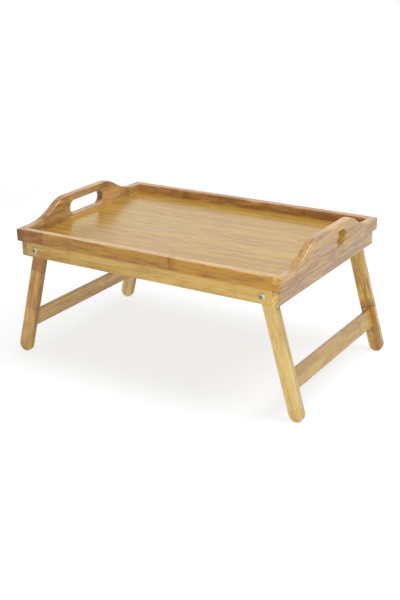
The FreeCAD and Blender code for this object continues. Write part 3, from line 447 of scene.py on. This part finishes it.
# --------------------------------------------------------------------------------------------------
# What covers each node
# --------------------------------------------------------------------------------------------------
COVERINGS = {
    # the tray's floor and rim
    "tray_panel": bamboo(
        "panel_bamboo", PANEL_GRAIN, srgb(176, 142, 57), srgb(151, 108, 33), seed=1.3,
        contrast=1.15, scattered=0.28, roughness=0.32, coat=0.42, specular=0.32),
    "front_rail": bamboo(
        "front_rail_bamboo", RIM_X, srgb(193, 142, 43), srgb(137, 81, 14), seed=2.17,
        nodes=((0.057, 0.10, 1, 0.8), (-0.197, -0.06, -1, 0.6)),
        steps=((-0.197, 0.20), (-0.08, 0.22), (0.057, 0.12)),
        patches=((0.125, -0.002, 0.034, 0.006, 0.45), (-0.225, 0.0, 0.034, 0.02, 0.60),
                 (0.212, 0.003, 0.02, 0.007, 0.25)),
        # painted sheen: its top and bottom faces paler and bluer
        coat=0.8, specular=0.25, painted_side_light_and_shade=(1.0, 1.2, 4.0)),
    "back_rail": bamboo(
        "back_rail_bamboo", RIM_X, srgb(196, 154, 95), srgb(136, 86, 41), seed=4.4,
        nodes=((0.118, 0.05, -1, 0.5), (-0.132, -0.08, 1, 0.5)),
        steps=((-0.06, -0.15), (0.118, -0.22)),
        patches=((-0.228, 0.002, 0.02, 0.012, 0.5), (-0.128, 0.002, 0.016, 0.012, 0.5)),
        coat=0.38),
    "left_handle_board": bamboo(
        "left_board_bamboo", RIM_Y, srgb(196, 160, 104), srgb(130, 85, 46), seed=6.1, contrast=0.7,
        nodes=((0.125, 0.08, -1, 0.5), (-0.118, -0.05, 1, 0.4)),
        steps=((-0.05, 0.25), (0.098, -0.20)),
        patches=((-0.092, 0.0, 0.036, 0.030, 0.40),),
        coat=0.3, end_grain_and_painted_light=(0.52, 0.38, 0.18)),
    "right_handle_board": bamboo(
        "right_board_bamboo", RIM_Y, srgb(206, 170, 106), srgb(158, 110, 50), seed=7.7, contrast=0.9,
        nodes=((0.135, 0.06, -1, 0.35), (-0.126, -0.06, 1, 0.25)),
        # painted light: its end faces lighter and yellower; painted shade: its top and bottom faces
        # darker
        coat=0.55, specular=0.45, end_grain_and_painted_light=(1.12, 1.15, 0.5), painted_side_light_and_shade=(0.78, 0.70, 0.60)),

    # the apron under it
    "front_apron": bamboo(
        "front_apron_bamboo", APRON_X, srgb(218, 182, 103), srgb(176, 129, 45), seed=9.2, contrast=0.9,
        nodes=((-0.142, 0.10, 1, 0.2), (0.171, 0.06, -1, 0.2)),
        steps=((-0.142, 0.32), (-0.06, 0.12), (0.02, 0.12)),
        # painted shadow under the front rail's lip, and painted shade along the apron's bottom edge
        shade_lines=((0.0118, 0.0035, 0.5), (-0.0125, 0.0022, 0.35))),
    "back_apron": bamboo(
        "back_apron_bamboo", APRON_X, srgb(212, 170, 92), srgb(178, 130, 52), seed=10.9,
        nodes=((-0.165, 0.06, -1, 0.5), (0.108, -0.05, 1, 0.5))),
    "left_apron": bamboo(
        "left_apron_bamboo", APRON_Y, srgb(213, 180, 124), srgb(180, 141, 75), seed=12.3,
        nodes=((0.085, 0.05, 1, 0.5),), coat=0.6, specular=0.4),
    "right_apron": bamboo(
        "right_apron_bamboo", APRON_Y, srgb(199, 160, 82), srgb(151, 103, 36), seed=13.8, contrast=1.1,
        # painted shadow under the handle board's lip
        nodes=((-0.035, 0.05, -1, 0.2),), shade_lines=((0.0105, 0.0065, 0.95),),
        # painted light: its end faces much lighter
        coat=0.85, specular=0.5, end_grain_and_painted_light=(1.55, 1.9, 2.1)),

    # the two leg frames
    "left_front_leg": bamboo(
        "left_front_leg_bamboo", LEFT_LEG, srgb(224, 180, 105), srgb(172, 119, 49), seed=15.1,
        nodes=((0.152, 0.05, 1, 0.25),),
        # painted shade: the steps darken the top 45 mm below the pivot, under the apron, together with
        # the reddish knot of the first patch
        steps=((-1.0, -0.85), (0.045, 0.75), (0.12, 0.28)),
        patches=((0.036, 0.003, 0.022, 0.010, 0.55), (0.118, -0.006, 0.03, 0.006, 0.3)),
        # painted shade: its inner and outer sides darker
        painted_side_light_and_shade=(0.85, 0.85, 0.7)),
    "left_back_leg": bamboo(
        # painted light: both tones paler than the other legs' to make up for the shade under the tray
        "left_back_leg_bamboo", LEFT_LEG, srgb(255, 235, 161), srgb(230, 183, 101), seed=16.6,
        nodes=((0.09, 0.05, -1, 0.5),), patches=((0.190, 0.0, 0.022, 0.008, 0.35),),
        # painted shade: its inner and outer sides darker
        painted_side_light_and_shade=(0.6, 0.55, 0.5)),
    "right_front_leg": bamboo(
        "right_front_leg_bamboo", RIGHT_LEG, srgb(232, 202, 132), srgb(204, 163, 88), seed=18.2,
        # painted shade: its inner and outer sides darker
        contrast=0.9, nodes=((0.026, 0.05, 1, 0.10),), coat=0.25, painted_side_light_and_shade=(0.75, 0.80, 1.0)),
    "right_back_leg": bamboo(
        "right_back_leg_bamboo", RIGHT_LEG, srgb(230, 194, 79), srgb(168, 115, 35), seed=19.9,
        contrast=1.25, nodes=((0.124, 0.08, -1, 0.95), (0.168, 0.04, -1, 0.35)),
        steps=((0.124, -0.25),),
        patches=((0.196, 0.0, 0.02, 0.012, 0.5), (0.117, -0.005, 0.012, 0.010, 1.0)),
        # painted sheen: its inner and outer sides paler and bluer
        coat=1.0, specular=0.5, painted_side_light_and_shade=(0.85, 1.0, 2.6)),
    "left_stretcher": bamboo(
        "left_stretcher_bamboo", LEFT_BAR, srgb(250, 212, 132), srgb(194, 139, 63), seed=21.4,
        # painted shade: its upper and lower edges darker
        contrast=0.75, nodes=((0.06, 0.05, 1, 0.3),), painted_side_light_and_shade=(0.68, 0.68, 0.6)),
    "right_stretcher": bamboo(
        "right_stretcher_bamboo", RIGHT_BAR, srgb(199, 167, 92), srgb(161, 118, 52), seed=22.7,
        contrast=0.8, nodes=((0.095, 0.10, 1, 0.5),),
        patches=((0.075, 0.002, 0.022, 0.012, 0.35), (0.0, 0.006, 0.03, 0.006, 0.2)),
        # painted shade: its upper and lower edges darker
        coat=0.6, specular=0.5, painted_side_light_and_shade=(0.65, 0.55, 0.5)),

    # the dowels and the fasteners
    "rail_dowels": raw_wood("rail_dowel_wood", srgb(222, 196, 150), srgb(190, 156, 108)),
    "apron_dowels": raw_wood("apron_dowel_wood", srgb(218, 192, 148), srgb(188, 154, 106)),
    "frame_dowels": raw_wood("frame_dowel_wood", srgb(220, 194, 150), srgb(186, 152, 104)),
    "left_stretcher_dowels": raw_wood("left_dowel_wood", srgb(220, 194, 150), srgb(186, 152, 104)),
    "right_stretcher_dowels": raw_wood("right_dowel_wood", srgb(220, 194, 150), srgb(186, 152, 104)),
    "pivot_bolts": plated_steel("bolt_steel", srgb(200, 192, 168), 0.62,
                                sockets=(RIGHT_PIVOT, LEFT_PIVOT)),
    "spacer_washers": plated_steel("spacer_steel", srgb(196, 196, 194), 0.3),
    "nut_washers": plated_steel("washer_steel", srgb(196, 196, 194), 0.3),
    "lock_nuts": plated_steel("nut_steel", srgb(190, 190, 188), 0.3),
}
for node_name, covering in COVERINGS.items():
    materials = NODES[node_name].data.materials
    materials.clear()
    materials.append(covering)


# --------------------------------------------------------------------------------------------------
# Camera, floor and light
# --------------------------------------------------------------------------------------------------
FLOOR_REACH = 14.0
FLOOR_NEAR, FLOOR_FAR = 0.5, 1.5  # the shadow shows in full to here, and from there not at all
FLOOR_LIT = 0.50                  # how much light the floor throws back on the table
FLOOR_SHADED = 0.30               # how much of what is seen of it depends on the light
FLOOR_GLOW_LOST = 0.26            # and the glow that makes room for it
ROOM_LIGHT = 0.36                 # strength of the surroundings as light on the table
ROOM_SEEN = 1.0                   # where the camera sees them
ROOM_MIRRORED = 0.80              # where the lacquer mirrors them


def place_camera():
    azimuth, elevation, roll = (math.radians(angle) for angle in
                                (CAMERA_AZIMUTH, CAMERA_ELEVATION, CAMERA_ROLL))
    back = Vector((math.sin(azimuth) * math.cos(elevation),
                   -math.cos(azimuth) * math.cos(elevation), math.sin(elevation)))
    level = Vector((math.cos(azimuth), math.sin(azimuth), 0))
    upright = back.cross(level)
    right = level * math.cos(roll) + upright * math.sin(roll)
    up = upright * math.cos(roll) - level * math.sin(roll)
    turn = Matrix((right, up, back)).transposed().to_4x4()
    camera = bpy.data.objects.new("camera", bpy.data.cameras.new("camera"))
    camera.data.sensor_width = SENSOR_MM
    camera.data.lens = FOCAL_PIXELS * SENSOR_MM / FRAME_HEIGHT_PIXELS
    camera.matrix_world = Matrix.Translation(CAMERA_PLACE) @ turn
    bpy.context.scene.collection.objects.link(camera)
    bpy.context.scene.camera = camera


def floor_material():
    """Pale floor, which looks white where it is open and keeps the table's shadow."""
    graph = Graph(bpy.data.materials.new("floor"))
    rays = graph.add("LightPath").outputs
    from_table = graph.length(graph.add("TexCoord").outputs["Object"])
    near = graph.spread(from_table, FLOOR_NEAR, FLOOR_FAR, 1.0, 0.0)
    thrown_back = graph.add("BsdfDiffuse", {"Color": grey(FLOOR_LIT)})
    shaded = graph.add("BsdfDiffuse", {"Color": graph.mix(near, grey(0.0), grey(FLOOR_SHADED))})
    glow = graph.add("Emission", {
        "Color": WHITE, "Strength": graph.math("MULTIPLY_ADD", near, -FLOOR_GLOW_LOST, 1.0)})
    seen = graph.add("AddShader", {0: shaded.outputs[0], 1: glow.outputs[0]})
    direct = graph.math("MAXIMUM", rays["Is Camera Ray"], rays["Is Glossy Ray"])
    return graph.finish(graph.add("MixShader", {0: direct, 1: thrown_back.outputs[0],
                                                2: seen.outputs[0]}))


def place_floor():
    corners = [(-FLOOR_REACH, -FLOOR_REACH, 0), (FLOOR_REACH, -FLOOR_REACH, 0),
               (FLOOR_REACH, FLOOR_REACH, 0), (-FLOOR_REACH, FLOOR_REACH, 0)]
    mesh = bpy.data.meshes.new("floor")
    mesh.from_pydata(corners, [], [(0, 1, 2, 3)])
    mesh.materials.append(floor_material())
    floor = bpy.data.objects.new("floor", mesh)
    bpy.context.scene.collection.objects.link(floor)


def light_world():
    """Even white surroundings."""
    graph = Graph(bpy.data.worlds.new("studio"))
    rays = graph.add("LightPath").outputs
    strength = graph.math("MULTIPLY_ADD", rays["Is Camera Ray"], ROOM_SEEN - ROOM_LIGHT, ROOM_LIGHT)
    strength = graph.math("MULTIPLY_ADD", rays["Is Glossy Ray"], ROOM_MIRRORED - ROOM_LIGHT, strength)
    sky = graph.add("Background", {"Color": WHITE, "Strength": strength})
    bpy.context.scene.world = graph.finish(sky, "OutputWorld")


def place_light(name, place, target, width, height, power):
    lamp = bpy.data.lights.new(name, "AREA")
    lamp.shape = "RECTANGLE"
    lamp.size, lamp.size_y, lamp.energy = width, height, power
    light = bpy.data.objects.new(name, lamp)
    light.location = place
    light.rotation_euler = (Vector(target) - Vector(place)).to_track_quat("-Z", "Y").to_euler()
    light.visible_camera = False
    bpy.context.scene.collection.objects.link(light)


place_camera()
place_floor()
light_world()
place_light("overhead", place=(0.2, -0.1, 2.2), target=(0, 0, 0.2), width=0.9, height=0.9, power=19)
place_light("front_right", place=(1.0, -1.7, 0.6), target=(0.05, 0, 0.12), width=1.0, height=0.8,
            power=17)
place_light("back_left", place=(-1.25, 1.97, 1.14), target=(0, 0, 0.2), width=2.5, height=1.6,
            power=5.5)
place_light("right", place=(1.25, 0.3, 1.9), target=(0, 0, 0.15), width=0.9, height=0.9, power=20)

bpy.context.scene.view_settings.view_transform = "Standard"
